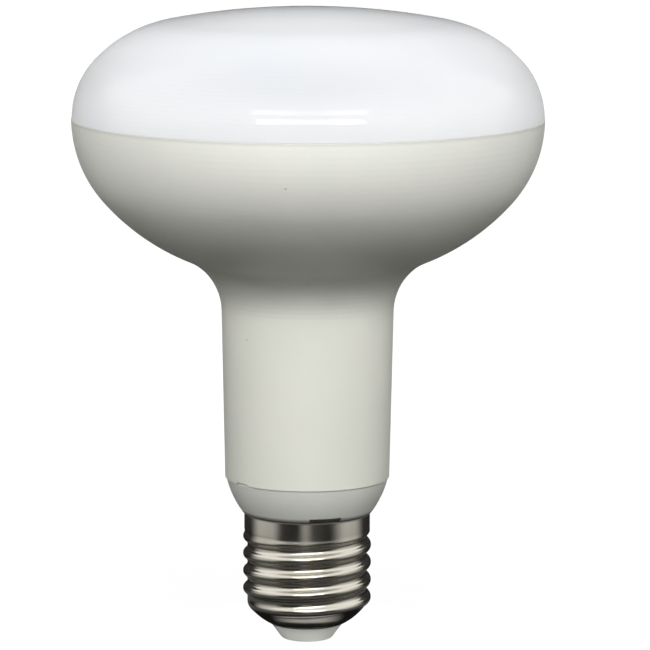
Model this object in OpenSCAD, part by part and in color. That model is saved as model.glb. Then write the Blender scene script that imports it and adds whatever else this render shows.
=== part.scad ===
// LED reflector lamp, standing on its screw cap. The origin is at the tip of the centre contact,
// +Z is the axis of the lamp, and -Y is its front. All sizes are in millimetres.

/* [Diffuser] */
// Diameter of the rim where the diffuser meets the housing
rim_d = 95; // [92:0.5:100]
// Height of the dome above the seam
dome_h = 22; // [20:0.1:25]
// Wall of the dome
dome_wall = 2; // [1.2:0.1:2.4]
// Radius of the dome's side, where it turns up from the seam
side_r = 16.9; // [15.5:0.1:18.5]
// Angle that the side turns through
side_sweep = 43; // [38:1:48]
// Radius of the shoulder between the side and the crown
shoulder_r = 25.8; // [24:0.1:30]
// Step by which the dome stands back from the rim
dome_step = 0.1; // [0:0.05:0.3]
// Length of the lip that drops into the rim
lip_l = 2.6; // [1.5:0.1:4]

/* [Reflector housing] */
// Height of the housing from the collar to the seam
housing_h = 73.2; // [68:0.1:90]
// Wall of the housing
shell_wall = 2; // [1.5:0.1:2.4]
// Wall of the rim outside the diffuser's lip
rim_wall = 1.1; // [0.8:0.1:1.4]
// Radius of the bowl just under the rim
bowl_r = 25; // [22:0.1:28]
// Angle that the bowl turns through under the rim
bowl_sweep = 41; // [36:1:45]
// Radius of the bowl's underside
underside_r = 44.7; // [41:0.1:50]
// Radius of the throat, where the bowl turns down into the neck
throat_r = 11.9; // [10:0.1:15]
// Radius of the neck below the throat
neck_top_r = 17.4; // [16.9:0.05:19]
// Radius of the neck where it meets the collar
neck_end_r = 16.7; // [16.2:0.05:17.3]

/* [Neck collar] */
// Height of the collar between the neck and the cap
collar_h = 7; // [5:0.1:10]
// Wall of the collar
collar_wall = 1.3; // [1:0.1:1.6]
// Step by which the collar stands back from the neck
collar_step = 0.25; // [0:0.05:0.5]
// Radius of the collar's lower rim
collar_end_r = 13.25; // [13.1:0.05:13.8]
// Radius of the collar's bulge between its two rims
collar_bulge_r = 18.9; // [14:0.1:40]
// Length of the spigot that goes up into the neck
neck_spigot_l = 4; // [3:0.1:6]
// Height of the locating key in the seam
key_h = 0.3; // [0.2:0.05:0.8]
// Angle that the key spans
key_span = 11; // [6:1:40]
// Angle from the front to the middle of the key, to the left
key_at = 52; // [30:1:90]
// Step by which the key stands back from the collar's top
key_step = 0.1; // [0:0.05:0.3]
// Clearance at each side of the key, as an angle
key_side_gap = 0.5; // [0.2:0.1:2]
// Height of the notch in the lower rim
notch_h = 0.8; // [0.4:0.05:1.5]
// Angle that the notch spans
notch_span = 28; // [10:1:60]
// Angle from the front to the middle of the notch, to the right
notch_at = 16; // [0:1:60]

/* [Screw cap] */
// Height of the plain skirt above the thread
skirt_h = 3.65; // [2.5:0.05:8]
// Thickness of the rolled sheet
sheet = 0.35; // [0.25:0.05:0.45]
// Radius of the plain skirt above the thread
skirt_r = 12.8; // [12.6:0.05:13]
// Radius over the crests of the thread
crest_r = 13.05; // [13.02:0.01:13.22]
// Radius at the roots of the thread
root_r = 12.15; // [12.12:0.01:12.33]
// Pitch of the thread
pitch = 3.629; // [3.55:0.001:3.7]
// Height of the first crest above the lip, at the right of the lamp
first_crest_h = 16.1; // [15.6:0.1:16.6]
// Turns from the first crest down to where the thread has died out
thread_turns = 3.6; // [3.3:0.05:3.65]
// Radius of the hole in the lower end
lip_r = 7.75; // [7.2:0.05:7.8]
// Radius of the dished lower end
dish_r = 11.8; // [11.4:0.1:12.4]
// Slope of the dish at the lip, from the vertical
lip_slope = 63; // [60:1:66]
// Radius between the dish and the threaded wall
dish_blend_r = 2.5; // [1.5:0.1:3.5]

/* [Tip] */
// Height of the insulator below the cap
tip_h = 3.2; // [2.4:0.1:4]
// Radius of the insulator's flat end, out to the sharp corner before its edge is rounded
tip_r = 5.2; // [4.6:0.1:5.6]
// Radius of the rounding round the flat end
tip_edge_r = 0.5; // [0.2:0.05:0.8]
// Slope of the insulator's side, from the vertical
tip_slope = 36; // [30:1:38]
// Wall of the insulator
tip_wall = 1.4; // [1:0.1:1.6]
// Floor of the insulator, which the rivet holds
tip_floor = 1.6; // [1:0.1:2]
// Height of the flange that stays inside the cap
flange_h = 1.4; // [0.8:0.1:2]
// Width of the flange beyond the hole in the cap
flange_w = 1.3; // [0.8:0.1:1.8]
// Radius of the contact
contact_r = 3.2; // [2.6:0.1:4]
// Radius of the flat that touches the lampholder
contact_flat_r = 2; // [1.4:0.1:2.4]
// Height of the contact below the insulator
contact_h = 0.4; // [0.3:0.05:0.8]
// Radius of the rivet's shank
shank_r = 1.2; // [0.8:0.1:1.6]
// Radius of the rivet's closed head
closed_r = 2.2; // [1.8:0.1:2.8]
// Height of the rivet's closed head
closed_h = 0.6; // [0.3:0.1:1]

/* [Fits] */
// Clearance round a spigot, a lip or a key in its seat
fit = 0.05; // [0.03:0.01:0.1]
// Clearance at the end of a spigot or a lip
end_gap = 0.15; // [0.1:0.05:0.4]
// Radius of the small edges along the seams
edge_r = 0.15; // [0.1:0.05:0.4]

/* [Smoothness] */
// Facets round a turned piece
$fn = 160; // [120:8:240]
// Steps along each arc of an outline
arc_steps = 14; // [8:1:32]
// Steps along each small edge
edge_steps = 5; // [3:1:8]
// Columns of facets round the thread
thread_columns = 48; // [36:4:60]
// Rows of facets along one pitch of the thread
rows_per_pitch = 8; // [6:1:10]

/* [Hidden] */

// Turns over which the thread dies out at its lower end
fade_turns = 0.6;
// Turns above the first crest at which the wall starts to open out to the skirt
skirt_start = 0.45;
// Turns that the wall takes to open out
skirt_turns = 0.5;
// Length by which a cutter runs past the wall that it cuts
overrun = 1;
// Length by which the threaded wall laps into the skirt and the dish
lap = 0.3;
// Depth by which the lapped rows lie inside those walls
lap_set = 0.01;

// Heights above the contact, stacked from the tip to the crown
tip_z = contact_h;
lip_z = tip_z + tip_h;
first_crest_z = lip_z + first_crest_h;
thread_top_z = first_crest_z + (skirt_start + skirt_turns) * pitch;
rim_z = thread_top_z + skirt_h;
neck_z = rim_z + collar_h;
seam_z = neck_z + housing_h;
crown_z = seam_z + dome_h;

// Directions round the axis, from +X, of the front, the key and the notch
front_a = 270;
key_a = front_a - key_at;
notch_a = front_a + notch_at;

// Points along an arc about c, from angle a0 to angle a1. An arc that runs on from another has
// first = 1, because it shares its first point with it
function arc(c, r, a0, a1, steps = arc_steps, first = 0) =
    [for (i = [first:steps]) let (a = a0 + (a1 - a0) * i / steps) c + r * [cos(a), sin(a)]];

// Where the centre of an arc goes, seen from the centre of the arc that it runs on from
function run_on(c, r, next_r, a) = c + (r - next_r) * [cos(a), sin(a)];

function direction(from, to) = atan2(to.y - from.y, to.x - from.x);

// Rounding of a corner between a flat, which faces up if up is 1 and down if it is -1, and a side
// that faces the direction side_a. It runs from the flat to the side
function edge(corner, up, side_a, r = edge_r) =
    arc(corner - r * [(1 - up * sin(side_a)) / cos(side_a), up], r, up * 90, side_a, edge_steps);

// Dome: three arcs that run on smoothly. The crown's radius follows from the height
rim_r = rim_d / 2;
dome_r = rim_r - dome_step;
side_c = [dome_r - side_r, seam_z];
shoulder_c = run_on(side_c, side_r, shoulder_r, side_sweep);
shoulder_drop = crown_z - shoulder_r - shoulder_c.y;
crown_r = shoulder_r + (shoulder_c.x ^ 2 + shoulder_drop ^ 2) / (2 * shoulder_drop);
crown_c = [0, crown_z - crown_r];
crown_a = direction(crown_c, shoulder_c);

// Outline of the dome from its seam to its crown, set in by w
function dome_line(w) = concat(
    arc(side_c, side_r - w, 0, side_sweep),
    arc(shoulder_c, shoulder_r - w, side_sweep, crown_a, first = 1),
    arc(crown_c, crown_r - w, crown_a, 90, first = 1)
);

// Bowl and neck: two arcs, the hollow arc of the throat, and the straight neck
bowl_c = [rim_r - bowl_r, seam_z];
underside_c = run_on(bowl_c, bowl_r, underside_r, -bowl_sweep);
throat_x = neck_top_r + throat_r;
throat_drop = sqrt((underside_r + throat_r) ^ 2 - (throat_x - underside_c.x) ^ 2);
throat_c = [throat_x, underside_c.y - throat_drop];
throat_a = direction(underside_c, throat_c);

// Outline of the housing from its rim down to the throat, set in by w
function bowl_line(w) = concat(
    arc(bowl_c, bowl_r - w, 0, -bowl_sweep),
    arc(underside_c, underside_r - w, -bowl_sweep, throat_a, first = 1),
    arc(throat_c, throat_r + w, throat_a + 180, 180, first = 1)
);

lip_seat_r = rim_r - rim_wall;
neck_bore_r = neck_end_r - shell_wall;

function reversed(line) = [for (i = [len(line) - 1:-1:0]) line[i]];

// Points of an outline that lie lower than z
function below(line, z) = [for (p = line) if (p.y < z) p];

module diffuser()
    color([0.93, 0.94, 0.96])
    rotate_extrude()
    polygon(concat(
        edge([dome_r, seam_z], -1, 0),
        [for (p = dome_line(0)) if (p.y > seam_z + edge_r) p],
        reversed(dome_line(dome_wall)),
        [[dome_r - dome_wall, seam_z - lip_l],
         [lip_seat_r - fit, seam_z - lip_l],
         [lip_seat_r - fit, seam_z]]
    ));

// A wedge of a ring about the axis, from r0 to r1 and from z0 to z1, with its middle at angle a
module ring_wedge(r0, r1, z0, z1, a, span)
    rotate([0, 0, a - span / 2])
    rotate_extrude(angle = span)
    polygon([[r0, z0], [r1, z0], [r1, z1], [r0, z1]]);

module housing_shell()
    rotate_extrude()
    polygon(concat(
        edge([rim_r, seam_z], 1, 0),
        below(bowl_line(0), seam_z - edge_r),
        reversed(edge([neck_end_r, neck_z], -1, 0)),
        [[neck_bore_r, neck_z]],
        reversed(below(bowl_line(shell_wall), seam_z - lip_l - end_gap)),
        [[lip_seat_r, seam_z - lip_l - end_gap],
         [lip_seat_r, seam_z]]
    ));

module reflector_housing()
    color([0.85, 0.86, 0.81])
    difference() {
        housing_shell();
        // Recess that takes the collar's key
        ring_wedge(neck_bore_r - overrun, neck_end_r + overrun, neck_z - overrun,
                   neck_z + key_h + end_gap, key_a, key_span + 2 * key_side_gap);
    }

// Collar: an outer arc between its two rims, found from its radius
collar_top_r = neck_end_r - collar_step;
collar_top = [collar_top_r, neck_z];
collar_end = [collar_end_r, rim_z];
collar_chord = norm(collar_top - collar_end);
collar_chord_a = direction(collar_end, collar_top);
collar_reach = sqrt(collar_bulge_r ^ 2 - (collar_chord / 2) ^ 2);
collar_c = (collar_top + collar_end) / 2
    + collar_reach * [cos(collar_chord_a + 90), sin(collar_chord_a + 90)];
collar_top_a = direction(collar_c, collar_top);
collar_end_a = direction(collar_c, collar_end);
collar_edge = edge(collar_top, 1, collar_top_a);
neck_spigot_r = neck_bore_r - fit;
cap_spigot_r = skirt_r - sheet - fit;

// The key stands on the middle of the neck spigot's wall
key_root_r = neck_spigot_r - collar_wall / 2;

module collar_ring()
    rotate_extrude()
    polygon(concat(
        collar_edge,
        below(arc(collar_c, collar_bulge_r, collar_top_a, collar_end_a), collar_edge[edge_steps].y),
        [[cap_spigot_r, rim_z],
         [cap_spigot_r, thread_top_z + end_gap],
         [cap_spigot_r - collar_wall, thread_top_z + end_gap],
         [cap_spigot_r - collar_wall, rim_z],
         [neck_spigot_r - collar_wall, neck_z],
         [neck_spigot_r - collar_wall, neck_z + neck_spigot_l],
         [neck_spigot_r, neck_z + neck_spigot_l],
         [neck_spigot_r, neck_z]]
    ));

module neck_collar()
    color([0.78, 0.79, 0.75])
    difference() {
        union() {
            collar_ring();
            ring_wedge(key_root_r, collar_top_r - key_step, neck_z - edge_r, neck_z + key_h,
                       key_a, key_span);
        }
        // Notch in the lower rim, in to where the cap's sheet ends
        ring_wedge(skirt_r - sheet, collar_end_r + overrun, rim_z - overrun, rim_z + notch_h,
                   notch_a, notch_span);
    }

// Lower end of the cap: a dish through the lip, blended into the root of the thread
dish_c = [lip_r - dish_r * cos(lip_slope), lip_z + dish_r * sin(lip_slope)];
blend_x = root_r - dish_blend_r;
blend_c = [blend_x, dish_c.y - sqrt((dish_r - dish_blend_r) ^ 2 - (blend_x - dish_c.x) ^ 2)];
blend_a = direction(dish_c, blend_c);

// Radius of the unthreaded wall at height z, set in by w
function plain_r(z, w) =
    z > blend_c.y ? root_r - w
    : z > blend_c.y + (dish_blend_r - w) * sin(blend_a)
    ? blend_c.x + sqrt((dish_blend_r - w) ^ 2 - (z - blend_c.y) ^ 2)
    : dish_c.x + sqrt((dish_r - w) ^ 2 - (z - dish_c.y) ^ 2);

// Thread form: two equal arcs that meet halfway between crest and root
thread_h = crest_r - root_r;
form_r = thread_h / 4 + pitch ^ 2 / (16 * thread_h);

// Height of the thread form at a distance from its crest, in turns
function form(turns) = let (x = abs(turns) * pitch)
    x < pitch / 4 ? thread_h - form_r + sqrt(form_r ^ 2 - x ^ 2)
    : form_r - sqrt(form_r ^ 2 - (pitch / 2 - x) ^ 2);

function smooth_step(x) = let (t = min(1, max(0, x))) t * t * (3 - 2 * t);

// Radius of the cap's sheet at angle a and height z, set in by w
function sheet_r(a, z, w) =
    let (up = (z - first_crest_z) / pitch,
         crest = round(up - a / 360),
         turn = crest + a / 360,
         fade = smooth_step((turn + thread_turns) / fade_turns),
         skirt = smooth_step((up - skirt_start) / skirt_turns),
         rise = form(up - turn) * fade)
    plain_r(z, w) + rise * (1 - skirt) + (skirt_r - root_r) * skirt;

// The threaded wall runs between the exact skirt and the exact dish, and laps into both. It ends
// half a turn below the last crest, at the root
thread_foot_z = first_crest_z - (thread_turns + 0.5) * pitch;
thread_rows = ceil((thread_top_z - thread_foot_z) / pitch * rows_per_pitch);
row_step = (thread_top_z - thread_foot_z) / thread_rows;
row_z = concat(
    [thread_foot_z - lap],
    [for (i = [0:thread_rows]) thread_foot_z + i * row_step],
    [thread_top_z + lap]
);
rows = len(row_z);

// The first two and the last two rows lie inside the wall that they are fused with
function is_lapped(i) = i < 2 || i > rows - 3;

function outer_r(i, a) = sheet_r(a, row_z[i], 0) - (is_lapped(i) ? lap_set : 0);

function inner_r(i, a) = is_lapped(i)
    ? (sheet_r(a, row_z[i], sheet) + lap_set) / cos(180 / thread_columns)
    : sheet_r(a, row_z[i], sheet);

// The threaded wall as one closed skin: up the outside row by row, and down the inside
module threaded_wall() {
    n = thread_columns;
    outside = [for (i = [0:rows - 1]) for (k = [0:n - 1]) let (a = 360 * k / n, r = outer_r(i, a))
        [r * cos(a), r * sin(a), row_z[i]]];
    inside = [for (i = [rows - 1:-1:0]) for (k = [0:n - 1]) let (a = 360 * k / n, r = inner_r(i, a))
        [r * cos(a), r * sin(a), row_z[i]]];
    loops = 2 * rows;
    faces = [for (i = [0:loops - 1]) for (k = [0:n - 1]) for (half = [0, 1])
        let (j = (i + 1) % loops, m = (k + 1) % n)
        half == 0 ? [i * n + k, j * n + k, j * n + m] : [i * n + k, j * n + m, i * n + m]];
    polyhedron(concat(outside, inside), faces);
}

// Points of the dish up to height z, set in by w
function dish_line(w, z) = arc(dish_c, dish_r - w, -lip_slope, -asin((dish_c.y - z) / (dish_r - w)));

module screw_cap()
    color([0.72, 0.70, 0.66])
    union() {
        rotate_extrude()
        polygon([[skirt_r, thread_top_z], [skirt_r, rim_z], [skirt_r - sheet, rim_z],
                 [skirt_r - sheet, thread_top_z]]);
        threaded_wall();
        rotate_extrude()
        polygon(concat(dish_line(0, thread_foot_z), reversed(dish_line(sheet, thread_foot_z))));
    }

// Insulator: a cup whose cone fills the hole in the cap, with a flange inside the dish
hole_r = lip_r - sheet * cos(lip_slope);
hole_z = lip_z + sheet * sin(lip_slope);
cup_r = hole_r - fit;
cone_top_z = tip_z + (cup_r - tip_r) / tan(tip_slope);
// Inside corner between the cup's floor and its side
floor_r = tip_r - tip_wall / 2;
floor_z = tip_z + tip_floor;
flange_r = hole_r + flange_w;
flange_z = dish_c.y - sqrt((dish_r - sheet) ^ 2 - (flange_r - dish_c.x) ^ 2) + fit;
cup_top_z = flange_z + flange_h;

module cap_insulator()
    color([0.68, 0.69, 0.64])
    rotate_extrude()
    polygon(concat(
        [[shank_r + fit, tip_z]],
        edge([tip_r, tip_z], -1, -tip_slope, tip_edge_r),
        [[cup_r, cone_top_z],
         [cup_r, hole_z + fit],
         [flange_r, flange_z],
         [flange_r, cup_top_z],
         [cup_r - tip_wall, cup_top_z],
         [cup_r - tip_wall, cone_top_z],
         [floor_r, floor_z],
         [shank_r + fit, floor_z]]
    ));

// Contact: a rivet with a flat domed head, its shank through the floor and its closed head inside
head_r = ((contact_r - contact_flat_r) ^ 2 + contact_h ^ 2) / (2 * contact_h);

module centre_contact()
    color([0.80, 0.78, 0.72])
    rotate_extrude()
    polygon(concat(
        [[0, 0]],
        arc([contact_flat_r, head_r], head_r, -90,
            -acos((contact_r - contact_flat_r) / head_r), edge_steps),
        [[shank_r, tip_z],
         [shank_r, floor_z],
         [closed_r, floor_z],
         [closed_r, floor_z + closed_h],
         [0, floor_z + closed_h]]
    ));

diffuser();
reflector_housing();
neck_collar();
screw_cap();
cap_insulator();
centre_contact();
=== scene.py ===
# Looks of the LED reflector lamp: its materials, a fine mesh of the rolled screw cap, and a plain studio.
# Lengths are in metres unless a name ends in MM.
import math

import bpy
import numpy as np
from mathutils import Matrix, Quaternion, Vector


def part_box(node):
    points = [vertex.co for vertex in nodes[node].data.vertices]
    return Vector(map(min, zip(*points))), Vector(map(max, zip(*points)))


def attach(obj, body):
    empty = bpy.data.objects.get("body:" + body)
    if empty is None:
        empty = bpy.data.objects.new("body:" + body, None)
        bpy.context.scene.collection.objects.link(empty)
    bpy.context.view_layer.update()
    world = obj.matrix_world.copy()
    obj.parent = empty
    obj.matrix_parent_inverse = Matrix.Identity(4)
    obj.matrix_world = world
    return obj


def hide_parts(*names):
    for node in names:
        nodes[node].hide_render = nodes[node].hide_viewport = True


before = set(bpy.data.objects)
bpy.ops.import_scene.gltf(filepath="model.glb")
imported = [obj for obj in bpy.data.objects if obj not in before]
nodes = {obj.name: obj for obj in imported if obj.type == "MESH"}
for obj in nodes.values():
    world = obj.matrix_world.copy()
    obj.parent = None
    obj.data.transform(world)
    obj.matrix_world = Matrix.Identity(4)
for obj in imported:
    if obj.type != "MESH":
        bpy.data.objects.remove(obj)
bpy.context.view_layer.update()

MM = 0.001
AXIS = Vector((0, 0, 1))
cap_low, cap_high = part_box("screw_cap")
seam_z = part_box("reflector_housing")[1].z
crown_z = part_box("diffuser")[1].z


# Node helpers

class Recipe:
    """A node material with one Principled shader. Each method adds a node and returns its output."""

    def __init__(self, name):
        self.material = bpy.data.materials.new(name)
        self.material.use_nodes = True
        self.tree = self.material.node_tree
        self.shader = self.tree.nodes["Principled BSDF"]
        place = self.tree.nodes.new("ShaderNodeTexCoord")
        self.place = place.outputs["Object"]

    def add(self, kind, values=None, **settings):
        node = self.tree.nodes.new(kind)
        for key, value in settings.items():
            setattr(node, key, value)
        for key, value in (values or {}).items():
            self.feed(node.inputs[key], value)
        return node

    def feed(self, socket, value):
        if isinstance(value, bpy.types.NodeSocket):
            self.tree.links.new(value, socket)
        else:
            socket.default_value = value

    def set(self, **values):
        """Sets inputs of the Principled shader, with _ for the spaces of their names."""
        for key, value in values.items():
            self.feed(self.shader.inputs[key.replace("_", " ")], value)

    def stretched(self, scale):
        """The object's own coordinates, in metres, times a scale for each axis."""
        return self.add("ShaderNodeMapping", {"Vector": self.place, "Scale": scale}).outputs["Vector"]

    def noise(self, size, detail=3, stretch=(1, 1, 1)):
        """Noise from 0 to 1 whose lumps are about size metres across, drawn out by stretch."""
        vector = self.stretched([1 / (size * s) for s in stretch])
        node = self.add("ShaderNodeTexNoise", {"Vector": vector, "Scale": 1, "Detail": detail})
        return node.outputs["Fac"]

    def spread(self, value, low, high, start=0.3, end=0.7):
        """A value from start to end, spread over low to high."""
        node = self.add("ShaderNodeMapRange", {"Value": value, "From Min": start, "From Max": end,
                                               "To Min": low, "To Max": high})
        return node.outputs["Result"]

    def specks(self, gap, size):
        """1 in specks size metres across, about one in each cube of side gap, falling to 0 round them."""
        vector = self.stretched([1 / gap] * 3)
        near = self.add("ShaderNodeTexVoronoi", {"Vector": vector, "Scale": 1}).outputs["Distance"]
        return self.spread(near, 1, 0, size / gap / 4, size / gap / 2)

    def blend(self, factor, first, second):
        """A colour between first and second."""
        node = self.add("ShaderNodeMix", data_type="RGBA")
        self.feed(node.inputs["Factor"], factor)
        self.feed(node.inputs["A"], first)
        self.feed(node.inputs["B"], second)
        return node.outputs["Result"]

    def clouded(self, clouds, first, second):
        """A colour that wanders between first and second with the clouds."""
        return self.blend(self.spread(clouds, 0, 1), first, second)

    def band(self, start, end):
        """1 at the height start, in metres, falling to 0 at the height end."""
        height = self.add("ShaderNodeSeparateXYZ", {"Vector": self.place}).outputs["Z"]
        node = self.add("ShaderNodeMapRange", {"Value": height, "From Min": start, "From Max": end,
                                               "To Min": 1, "To Max": 0}, interpolation_type="SMOOTHSTEP")
        return node.outputs["Result"]

    def larger(self, first, second):
        return self.add("ShaderNodeMath", {0: first, 1: second}, operation="MAXIMUM").outputs[0]

    def bump(self, height, depth):
        """A bump that is depth metres high."""
        node = self.add("ShaderNodeBump", {"Height": height, "Distance": depth, "Strength": 1})
        return node.outputs["Normal"]


def colour(red, green, blue):
    return red, green, blue, 1


# Materials. A fade is the stretch of height over which one colour gives way to the next

# The dome is painted lighter at its crown and rim, as painted light, round a shoulder painted darker, as
# painted shade.
CROWN_LIGHT_FADE = crown_z - 0.0005, crown_z - 0.0035
RIM_LIGHT_FADE = seam_z + 0.002, seam_z + 0.013
SHEEN_FADE = seam_z + 0.006, seam_z + 0.026
# Just under the seam the housing is painted darker: painted shade at the joint with the diffuser.
SEAM_SHADE_FADE = seam_z, seam_z - 0.0009
# Below the seam the bowl's flank is painted paler than the neck: painted light.
FLANK_LIGHT_FADE = seam_z - 0.012, seam_z - 0.024
# Just above the cap the collar is painted dark: painted shade where it meets the cap.
COLLAR_SHADE_FADE = cap_high.z + 0.0001, cap_high.z + 0.0009
# At the top of the skirt and at the lip the cap is painted dark: painted shade under the collar and at the
# lip.
HIGH_RIM_SHADE_FADE = cap_high.z, cap_high.z - 0.0008
LOW_RIM_SHADE_FADE = cap_low.z + 0.0001, cap_low.z + 0.0006
# Where the insulator enters the cap it is painted dark: painted shade in the gap under the lip.
GAP_SHADE_FADE = cap_low.z + 0.0001, cap_low.z - 0.0002
SPECK_GAP = 0.011
SPECK_SIZE = 0.0006


def opal_plastic():
    """Glossy opal moulding. Light that spreads inside its wall makes its shading flat and its limb milky,
    which the rough diffuse part and the sheen stand for. Its colour carries painted light and shade: it is
    painted lighter at the rim and at the crown, and painted darker on the shoulder between them."""
    m = Recipe("opal_plastic")
    clouds = m.noise(0.018, detail=2)
    rim_painted_light = m.clouded(clouds, colour(0.83, 0.84, 0.855), colour(0.85, 0.855, 0.865))
    shoulder_painted_shade = m.clouded(clouds, colour(0.71, 0.725, 0.75), colour(0.73, 0.74, 0.76))
    crown_painted_light = m.clouded(clouds, colour(0.80, 0.81, 0.835), colour(0.82, 0.83, 0.845))
    top = m.blend(m.band(*CROWN_LIGHT_FADE), shoulder_painted_shade, crown_painted_light)
    m.set(Base_Color=m.blend(m.band(*RIM_LIGHT_FADE), top, rim_painted_light),
          Diffuse_Roughness=1,
          Sheen_Weight=m.band(*SHEEN_FADE),
          Sheen_Roughness=0.5,
          Roughness=m.spread(m.noise(0.012), 0.045, 0.065),
          IOR=1.5,
          Normal=m.bump(m.noise(0.01, detail=1), 0.000004))
    return m.material


def pearl_plastic():
    """Satin moulding: fine spark grain, soft flow clouds left by the mould, a flank of the bowl painted
    paler as painted light, a few specks, and a faint darker line painted along the diffuser as shade at the
    seam."""
    m = Recipe("pearl_plastic")
    clouds = m.noise(0.016, detail=4, stretch=(1, 1, 1.6))
    grain = m.noise(0.00035, detail=2)
    body = m.clouded(clouds, colour(0.72, 0.73, 0.645), colour(0.75, 0.75, 0.675))
    flank_painted_light = m.clouded(clouds, colour(0.82, 0.83, 0.755), colour(0.85, 0.85, 0.785))
    clean = m.blend(m.band(*FLANK_LIGHT_FADE), body, flank_painted_light)
    shell = m.blend(m.specks(SPECK_GAP, SPECK_SIZE), clean, colour(0.5, 0.5, 0.45))
    m.set(Base_Color=m.blend(m.band(*SEAM_SHADE_FADE), shell, colour(0.7, 0.7, 0.65)),
          Roughness=m.spread(clouds, 0.42, 0.5),
          IOR=1.55,
          Normal=m.bump(grain, 0.000012))
    return m.material


def collar_plastic():
    """Satin moulding with a dark line painted along the cap, as shade where the collar meets it."""
    m = Recipe("collar_plastic")
    clouds = m.noise(0.008, detail=3)
    clean = m.clouded(clouds, colour(0.67, 0.685, 0.625), colour(0.70, 0.71, 0.655))
    m.set(Base_Color=m.blend(m.band(*COLLAR_SHADE_FADE), clean, colour(0.2, 0.2, 0.18)),
          Roughness=m.spread(clouds, 0.4, 0.48),
          IOR=1.46,
          Normal=m.bump(m.noise(0.0003, detail=2), 0.00001))
    return m.material


def nickel_sheet():
    """Polished nickel plate with fine rolling marks round it, a few handling smears, and painted shade:
    rims painted dark under the collar and at the lip.
    """
    m = Recipe("nickel_sheet")
    marks = m.noise(0.00022, detail=3, stretch=(18, 18, 1))
    smears = m.noise(0.005, detail=3)
    clean = m.clouded(smears, colour(0.72, 0.68, 0.58), colour(0.76, 0.73, 0.64))
    painted_shade_rims = m.larger(m.band(*LOW_RIM_SHADE_FADE), m.band(*HIGH_RIM_SHADE_FADE))
    m.set(Base_Color=m.blend(painted_shade_rims, clean, colour(0.07, 0.065, 0.06)),
          Metallic=1,
          Roughness=m.larger(m.spread(smears, 0.15, 0.22), painted_shade_rims),
          Normal=m.bump(marks, 0.0000012))
    return m.material


def insulator_plastic():
    """Semi-matt moulding with a dark line painted where it enters the cap, as shade under the cap's lip."""
    m = Recipe("insulator_plastic")
    clouds = m.noise(0.004, detail=4)
    clean = m.clouded(clouds, colour(0.70, 0.72, 0.66), colour(0.74, 0.75, 0.69))
    m.set(Base_Color=m.blend(m.band(*GAP_SHADE_FADE), clean, colour(0.12, 0.11, 0.1)),
          Roughness=m.spread(clouds, 0.45, 0.6),
          Normal=m.bump(m.noise(0.0002, detail=2), 0.000008))
    return m.material


def contact_metal():
    """Plated rivet, dulled in patches by use."""
    m = Recipe("contact_metal")
    marks = m.noise(0.0006, detail=4)
    m.set(Base_Color=m.clouded(marks, colour(0.58, 0.55, 0.49), colour(0.72, 0.69, 0.62)),
          Metallic=1,
          Roughness=m.spread(marks, 0.18, 0.34),
          Normal=m.bump(marks, 0.000006))
    return m.material


def dress(node, material):
    mesh = nodes[node].data
    mesh.materials.clear()
    mesh.materials.append(material)


# Screw cap: the same sheet as the solid, in finer steps. Its sizes are those of the part, in millimetres

SHEET_MM = 0.35
SKIRT_R_MM = 12.8
SKIRT_H_MM = 3.65
CREST_R_MM = 13.05
ROOT_R_MM = 12.15
PITCH_MM = 3.629
FIRST_CREST_H_MM = 16.1
THREAD_TURNS = 3.6
FADE_TURNS = 0.6
SKIRT_START = 0.45
SKIRT_TURNS = 0.5
LIP_R_MM = 7.75
DISH_R_MM = 11.8
LIP_SLOPE = math.radians(63)
DISH_BLEND_R_MM = 2.5
EDGE_R_MM = 0.1

CAP_COLUMNS = 256
SKIRT_STEP_MM = 0.5
SKIRT_END_MM = 0.4      # from the skirt's ends to its first and last ring
THREAD_STEP_MM = 0.14
INNER_STEP_MM = 0.3
INNER_START_MM = 0.1
DISH_STEPS = 14
EDGE_STEPS = 4

lip_z_mm = cap_low.z / MM
rim_z_mm = cap_high.z / MM
thread_top_z_mm = rim_z_mm - SKIRT_H_MM
first_crest_z_mm = lip_z_mm + FIRST_CREST_H_MM
thread_foot_z_mm = first_crest_z_mm - (THREAD_TURNS + 0.5) * PITCH_MM

dish_x_mm = LIP_R_MM - DISH_R_MM * math.cos(LIP_SLOPE)
dish_z_mm = lip_z_mm + DISH_R_MM * math.sin(LIP_SLOPE)
blend_x_mm = ROOT_R_MM - DISH_BLEND_R_MM
blend_z_mm = dish_z_mm - math.sqrt((DISH_R_MM - DISH_BLEND_R_MM) ** 2 - (blend_x_mm - dish_x_mm) ** 2)
blend_sine = (blend_z_mm - dish_z_mm) / (DISH_R_MM - DISH_BLEND_R_MM)

thread_h_mm = CREST_R_MM - ROOT_R_MM
form_r_mm = thread_h_mm / 4 + PITCH_MM ** 2 / (16 * thread_h_mm)


def smooth_step(x):
    t = np.clip(x, 0, 1)
    return t * t * (3 - 2 * t)


def wall_radius(z, inset):
    """Radius of the unthreaded wall at height z, set in by inset."""
    if z > blend_z_mm:
        return ROOT_R_MM - inset
    if z > blend_z_mm + (DISH_BLEND_R_MM - inset) * blend_sine:
        return blend_x_mm + math.sqrt((DISH_BLEND_R_MM - inset) ** 2 - (z - blend_z_mm) ** 2)
    return dish_x_mm + math.sqrt((DISH_R_MM - inset) ** 2 - (z - dish_z_mm) ** 2)


def thread_form(turns):
    """Height of the thread form at a distance from its crest, in turns."""
    x = np.abs(turns) * PITCH_MM
    crest = thread_h_mm - form_r_mm + np.sqrt(form_r_mm ** 2 - np.minimum(x, PITCH_MM / 4) ** 2)
    root = form_r_mm - np.sqrt(form_r_mm ** 2 - np.minimum(PITCH_MM / 2 - x, PITCH_MM / 4) ** 2)
    return np.where(x < PITCH_MM / 4, crest, root)


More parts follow.
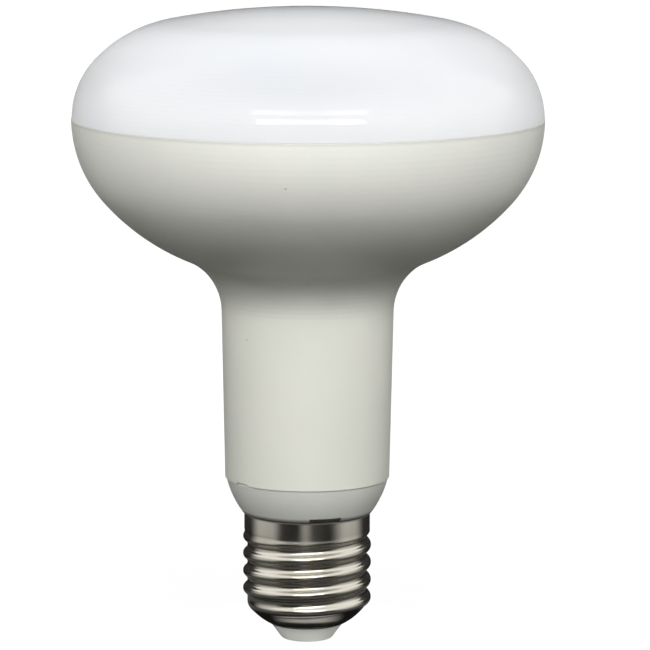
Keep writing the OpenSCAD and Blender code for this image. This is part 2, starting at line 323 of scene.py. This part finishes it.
def sheet_radius(turn_angle, z, inset):
    """Radius of the sheet at height z, for angles given in turns from +X."""
    up = (z - first_crest_z_mm) / PITCH_MM
    turn = np.round(up - turn_angle) + turn_angle
    fade = smooth_step((turn + THREAD_TURNS) / FADE_TURNS)
    skirt = smooth_step((up - SKIRT_START) / SKIRT_TURNS)
    rise = thread_form(up - turn) * fade
    return wall_radius(z, inset) + rise * (1 - skirt) + (SKIRT_R_MM - ROOT_R_MM) * skirt


def even_steps(start, end, step):
    count = max(1, round(abs(end - start) / step))
    return [start + (end - start) * i / count for i in range(count + 1)]


def cap_rows(turn_angle):
    """Rings of the sheet's closed skin, as (radius at each column, height), from the rim by the lip."""
    flat = np.ones_like(turn_angle)
    rows = [(flat * (SKIRT_R_MM - EDGE_R_MM * (1 - math.sin(a))), rim_z_mm - EDGE_R_MM * (1 - math.cos(a)))
            for a in even_steps(0, math.pi / 2, math.pi / 2 / EDGE_STEPS)]
    skirt_high, skirt_low = rim_z_mm - SKIRT_END_MM, thread_top_z_mm + SKIRT_END_MM
    rows += [(flat * SKIRT_R_MM, z) for z in even_steps(skirt_high, skirt_low, SKIRT_STEP_MM)]
    rows += [(sheet_radius(turn_angle, z, 0), z)
             for z in even_steps(thread_top_z_mm, thread_foot_z_mm, THREAD_STEP_MM)]
    foot_a = math.asin((dish_z_mm - thread_foot_z_mm) / DISH_R_MM)
    dish_angles = even_steps(foot_a, LIP_SLOPE, (LIP_SLOPE - foot_a) / DISH_STEPS)[1:]

    def dish_ring(a, inset):
        reach = DISH_R_MM - inset
        return flat * (dish_x_mm + reach * math.cos(a)), dish_z_mm - reach * math.sin(a)

    rows += [dish_ring(a, 0) for a in dish_angles[:-1]]
    edge_turn = EDGE_R_MM / DISH_R_MM
    for a in even_steps(0, math.pi, math.pi / (2 * EDGE_STEPS)):
        round_r = SHEET_MM / 2
        rows.append(dish_ring(LIP_SLOPE - edge_turn * (1 - math.sin(a)), round_r - round_r * math.cos(a)))
    rows += [dish_ring(a, SHEET_MM) for a in reversed(dish_angles[:-1:3])]
    rows += [(sheet_radius(turn_angle, z, SHEET_MM), z)
             for z in even_steps(thread_foot_z_mm + INNER_START_MM, thread_top_z_mm, INNER_STEP_MM)]
    rows += [(flat * (SKIRT_R_MM - SHEET_MM), rim_z_mm - EDGE_R_MM)]
    rows += [(flat * (SKIRT_R_MM - SHEET_MM + EDGE_R_MM), rim_z_mm)]
    return rows


def cap_mesh():
    turn_angle = np.arange(CAP_COLUMNS) / CAP_COLUMNS
    angle = 2 * math.pi * turn_angle
    rows = cap_rows(turn_angle)
    points = [np.stack([r * np.cos(angle), r * np.sin(angle), np.full(CAP_COLUMNS, z)], 1) for r, z in rows]
    vertices = np.concatenate(points) * MM
    count = len(rows)
    faces = [(i * CAP_COLUMNS + k, j * CAP_COLUMNS + k, j * CAP_COLUMNS + m, i * CAP_COLUMNS + m)
             for i in range(count) for j in [(i + 1) % count]
             for k in range(CAP_COLUMNS) for m in [(k + 1) % CAP_COLUMNS]]
    mesh = bpy.data.meshes.new("rolled_screw_cap")
    mesh.from_pydata(vertices.tolist(), [], faces)
    mesh.shade_smooth()
    return mesh


def build_cap():
    piece = bpy.data.objects.new("rolled_screw_cap", cap_mesh())
    bpy.context.scene.collection.objects.link(piece)
    piece.data.materials.append(nickel_sheet())
    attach(piece, "root")
    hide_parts("screw_cap")


# Studio

WHITE = 1.0
AMBIENT = 0.06          # what diffuse surfaces get from the room
FLOOR_R = 4
FLOOR_GLOW = 0.9, 1     # share of the floor's white that no shadow touches, at the lamp and far away
FLOOR_GLOW_SPAN = 0.06, 0.22
FLOOR_PALENESS = 0.6, 0.12      # what the floor throws back of the light, at the tip and farther out
FLOOR_PALE_SPAN = 0.012, 0.035
LIGHT_AIM = Vector((0, -0.04, seam_z))      # the middle of the dome's front
CARD_STEP = 3           # degrees from one column of a card to the next


def is_seen_ray(tree):
    """1 for camera, glossy and transmission rays, which see the white background."""
    path = tree.nodes.new("ShaderNodeLightPath")
    total = path.outputs["Is Camera Ray"]
    for name in ("Is Glossy Ray", "Is Transmission Ray"):
        larger = tree.nodes.new("ShaderNodeMath")
        larger.operation = "MAXIMUM"
        tree.links.new(total, larger.inputs[0])
        tree.links.new(path.outputs[name], larger.inputs[1])
        total = larger.outputs[0]
    return total


def build_world():
    world = bpy.data.worlds.new("studio")
    bpy.context.scene.world = world
    world.use_nodes = True
    tree = world.node_tree
    background = tree.nodes["Background"]
    strength = tree.nodes.new("ShaderNodeMix")
    tree.links.new(is_seen_ray(tree), strength.inputs["Factor"])
    strength.inputs["A"].default_value = AMBIENT
    strength.inputs["B"].default_value = WHITE
    background.inputs["Color"].default_value = colour(1, 1, 1)
    tree.links.new(strength.outputs["Result"], background.inputs["Strength"])


def build_floor():
    """A white floor that keeps a faint shadow, and throws little light back up at the lamp."""
    mesh = bpy.data.meshes.new("floor")
    corners = [(x * FLOOR_R, y * FLOOR_R, 0) for x, y in ((-1, -1), (1, -1), (1, 1), (-1, 1))]
    mesh.from_pydata(corners, [], [(0, 1, 2, 3)])
    floor = bpy.data.objects.new("floor", mesh)
    bpy.context.scene.collection.objects.link(floor)
    material = bpy.data.materials.new("floor")
    material.use_nodes = True
    tree = material.node_tree
    tree.nodes.clear()
    output = tree.nodes.new("ShaderNodeOutputMaterial")
    shadowed = tree.nodes.new("ShaderNodeBsdfDiffuse")
    glow = tree.nodes.new("ShaderNodeEmission")
    place = tree.nodes.new("ShaderNodeTexCoord")
    distance = tree.nodes.new("ShaderNodeVectorMath")
    distance.operation = "LENGTH"
    tree.links.new(place.outputs["Object"], distance.inputs[0])
    for socket, values, span in ((glow.inputs["Strength"], FLOOR_GLOW, FLOOR_GLOW_SPAN),
                                 (shadowed.inputs["Color"], FLOOR_PALENESS, FLOOR_PALE_SPAN)):
        fade = tree.nodes.new("ShaderNodeMapRange")
        fade.interpolation_type = "SMOOTHSTEP"
        tree.links.new(distance.outputs["Value"], fade.inputs["Value"])
        fade.inputs["From Min"].default_value, fade.inputs["From Max"].default_value = span
        fade.inputs["To Min"].default_value, fade.inputs["To Max"].default_value = values
        tree.links.new(fade.outputs["Result"], socket)
    both = tree.nodes.new("ShaderNodeAddShader")
    tree.links.new(shadowed.outputs[0], both.inputs[0])
    tree.links.new(glow.outputs[0], both.inputs[1])
    choice = tree.nodes.new("ShaderNodeMixShader")
    tree.links.new(is_seen_ray(tree), choice.inputs[0])
    tree.links.new(shadowed.outputs[0], choice.inputs[1])
    tree.links.new(both.outputs[0], choice.inputs[2])
    tree.links.new(choice.outputs[0], output.inputs["Surface"])
    mesh.materials.append(material)


def direction(azimuth, elevation):
    """Azimuth 0 is the front, -Y, and grows towards +X. Both are in degrees."""
    a, e = math.radians(azimuth), math.radians(elevation)
    return Vector((math.sin(a) * math.cos(e), -math.cos(a) * math.cos(e), math.sin(e)))


def softbox(name, azimuth, elevation, distance, width, height, power, reflected=False):
    """A rectangular lamp that faces the lights' aim. One that is reflected shows in reflections only, and
    the others light only what is matt."""
    data = bpy.data.lights.new(name, "AREA")
    data.shape = "RECTANGLE"
    data.size, data.size_y = width, height
    data.energy = power
    lamp = bpy.data.objects.new(name, data)
    bpy.context.scene.collection.objects.link(lamp)
    lamp.location = LIGHT_AIM + distance * direction(azimuth, elevation)
    lamp.rotation_mode = "QUATERNION"
    lamp.rotation_quaternion = (lamp.location - LIGHT_AIM).to_track_quat("Z", "Y")
    lamp.visible_camera = False
    lamp.visible_glossy = reflected
    lamp.visible_diffuse = not reflected


def brightness_at(azimuth, stops):
    """Brightness between stops of (azimuth, brightness), which run in order, with soft steps."""
    for (a0, b0), (a1, b1) in zip(stops, stops[1:]):
        if azimuth <= a1:
            return b0 + (b1 - b0) * float(smooth_step((azimuth - a0) / (a1 - a0)))
    return stops[-1][1]


def card(name, edges, stops):
    """A curved card that only reflections show. Its edges, from the inner one out, are (radius, height,
    share of the brightness), and it spans the azimuths of its stops."""
    start, end = stops[0][0], stops[-1][0]
    steps = max(1, round((end - start) / CARD_STEP))
    azimuths = [start + (end - start) * i / steps for i in range(steps + 1)]
    points = [direction(a, 0) * r + AXIS * z for r, z, share in edges for a in azimuths]
    glows = [share * brightness_at(a, stops) for r, z, share in edges for a in azimuths]
    across = steps + 1
    faces = [(j * across + i, j * across + i + 1, (j + 1) * across + i + 1, (j + 1) * across + i)
             for j in range(len(edges) - 1) for i in range(steps)]
    mesh = bpy.data.meshes.new(name)
    mesh.from_pydata([tuple(p) for p in points], [], faces)
    mesh.attributes.new("glow", "FLOAT", "POINT").data.foreach_set("value", glows)
    piece = bpy.data.objects.new(name, mesh)
    bpy.context.scene.collection.objects.link(piece)
    for rays in ("camera", "diffuse", "transmission", "volume_scatter", "shadow"):
        setattr(piece, "visible_" + rays, False)
    material = bpy.data.materials.new(name)
    material.use_nodes = True
    tree = material.node_tree
    tree.nodes.clear()
    output = tree.nodes.new("ShaderNodeOutputMaterial")
    emission = tree.nodes.new("ShaderNodeEmission")
    glow = tree.nodes.new("ShaderNodeAttribute")
    glow.attribute_name = "glow"
    tree.links.new(glow.outputs["Fac"], emission.inputs["Strength"])
    tree.links.new(emission.outputs[0], output.inputs["Surface"])
    mesh.materials.append(material)


# Each card's edges, as card() takes them, and the stops of its brightness

# The dark disc round the tip, which only reflections show and which is darkest nearest the tip, is painted
# shadow of the lamp on the floor.
FLOOR_SHADE_EDGES = (0.003, 0.0003, 0.1), (0.015, 0.0003, 0.1), (0.022, 0.0004, 1), (0.05, 0.0005, 1)
GLINT_EDGES = (0.0089, 0.0005, 0), (0.0096, 0.0005, 1), (0.0116, 0.0005, 1), (0.0128, 0.0005, 0)
LOW_EDGES = (0.05, 0.0005, 0.2), (0.08, 0.013, 1), (0.12, 0.03, 1)
MIDDLE_EDGES = (1.2, 0.0005, 1), (1.2, 0.44, 1)
BACK_EDGES = (0.12, 0.03, 1), (1.2, 0.05, 1), (1.2, 0.84, 1), (1.2, 1.9, 12)
CEILING_EDGES = (0.001, 2, 1), (1.3, 2, 1)
FLOOR_SHADE_STOPS = (0, 0.08), (360, 0.08)
GLINT_STOPS = (-72, 0), (-12, 0.45), (16, 0.45), (76, 0)
LOW_STOPS = ((-180, 0.03), (-118, 0.03), (-88, 0.56), (-62, 0.5), (-42, 0.03), (-16, 0.02), (-3, 0.38),
             (12, 0.06), (38, 0.03), (70, 0.58), (88, 0.54), (118, 0.03), (180, 0.03))
MIDDLE_STOPS = ((-126, 0.03), (-95, 0.6), (-50, 0.6), (-34, 0.3), (-14, 0.35), (5, 0.4), (25, 0.25),
                (60, 0.6), (90, 0.6), (126, 0.03))
BACK_STOPS = (126, 0.03), (234, 0.03)
CEILING_STOPS = (0, 0.6), (360, 0.6)


def build_lights():
    softbox("bar_upper", 0.7, 35.8, 1.5, 1.46, 0.08, 1.15, reflected=True)
    softbox("bar_lower", 1.2, 24.0, 1.5, 1.38, 0.11, 4.6, reflected=True)
    softbox("key", 2, 31.6, 1.5, 1.7, 0.45, 21)
    softbox("side_left", -50, 35, 1.4, 0.8, 0.5, 5.4)
    softbox("side_right", 50, 35, 1.4, 0.8, 0.5, 5.6)
    softbox("back_left", -140, 30, 1.4, 0.8, 0.5, 3)
    softbox("back_right", 140, 30, 1.4, 0.8, 0.5, 3)
    softbox("back", 180, 5, 1.4, 0.8, 0.8, 4)
    softbox("near_left", -95, 10, 0.45, 0.3, 0.1, 0.1)
    softbox("near_right", 95, 10, 0.45, 0.3, 0.1, 0.1)
    card("floor_shade_card", FLOOR_SHADE_EDGES, FLOOR_SHADE_STOPS)
    card("glint_card", GLINT_EDGES, GLINT_STOPS)
    card("low_card", LOW_EDGES, LOW_STOPS)
    card("middle_card", MIDDLE_EDGES, MIDDLE_STOPS)
    card("back_card", BACK_EDGES, BACK_STOPS)
    card("ceiling_card", CEILING_EDGES, CEILING_STOPS)


# Camera: fitted to the lamp's outline in the photograph

PHOTO_SIDE_PX = 650
LAMP_AXIS_PX = 307.6
SENSOR_MM = 36
CAMERA_LENS_MM = 219.05
CAMERA_DISTANCE = 0.8
CAMERA_ELEVATION = 9
CAMERA_ROLL = 0.0026
CAMERA_TARGET = Vector((0, 0, 0.06488))


def build_camera():
    data = bpy.data.cameras.new("camera")
    data.sensor_width = SENSOR_MM
    data.lens = CAMERA_LENS_MM
    data.shift_x = (PHOTO_SIDE_PX / 2 - LAMP_AXIS_PX) / PHOTO_SIDE_PX
    camera = bpy.data.objects.new("camera", data)
    bpy.context.scene.collection.objects.link(camera)
    back = direction(0, CAMERA_ELEVATION)
    camera.location = CAMERA_TARGET + CAMERA_DISTANCE * back
    camera.rotation_mode = "QUATERNION"
    camera.rotation_quaternion = back.to_track_quat("Z", "Y") @ Quaternion((0, 0, 1), CAMERA_ROLL)
    bpy.context.scene.camera = camera


bpy.context.scene.view_settings.view_transform = "Standard"
build_camera()
build_world()
build_floor()
build_lights()

dress("diffuser", opal_plastic())
dress("reflector_housing", pearl_plastic())
dress("neck_collar", collar_plastic())
dress("cap_insulator", insulator_plastic())
dress("centre_contact", contact_metal())
build_cap()
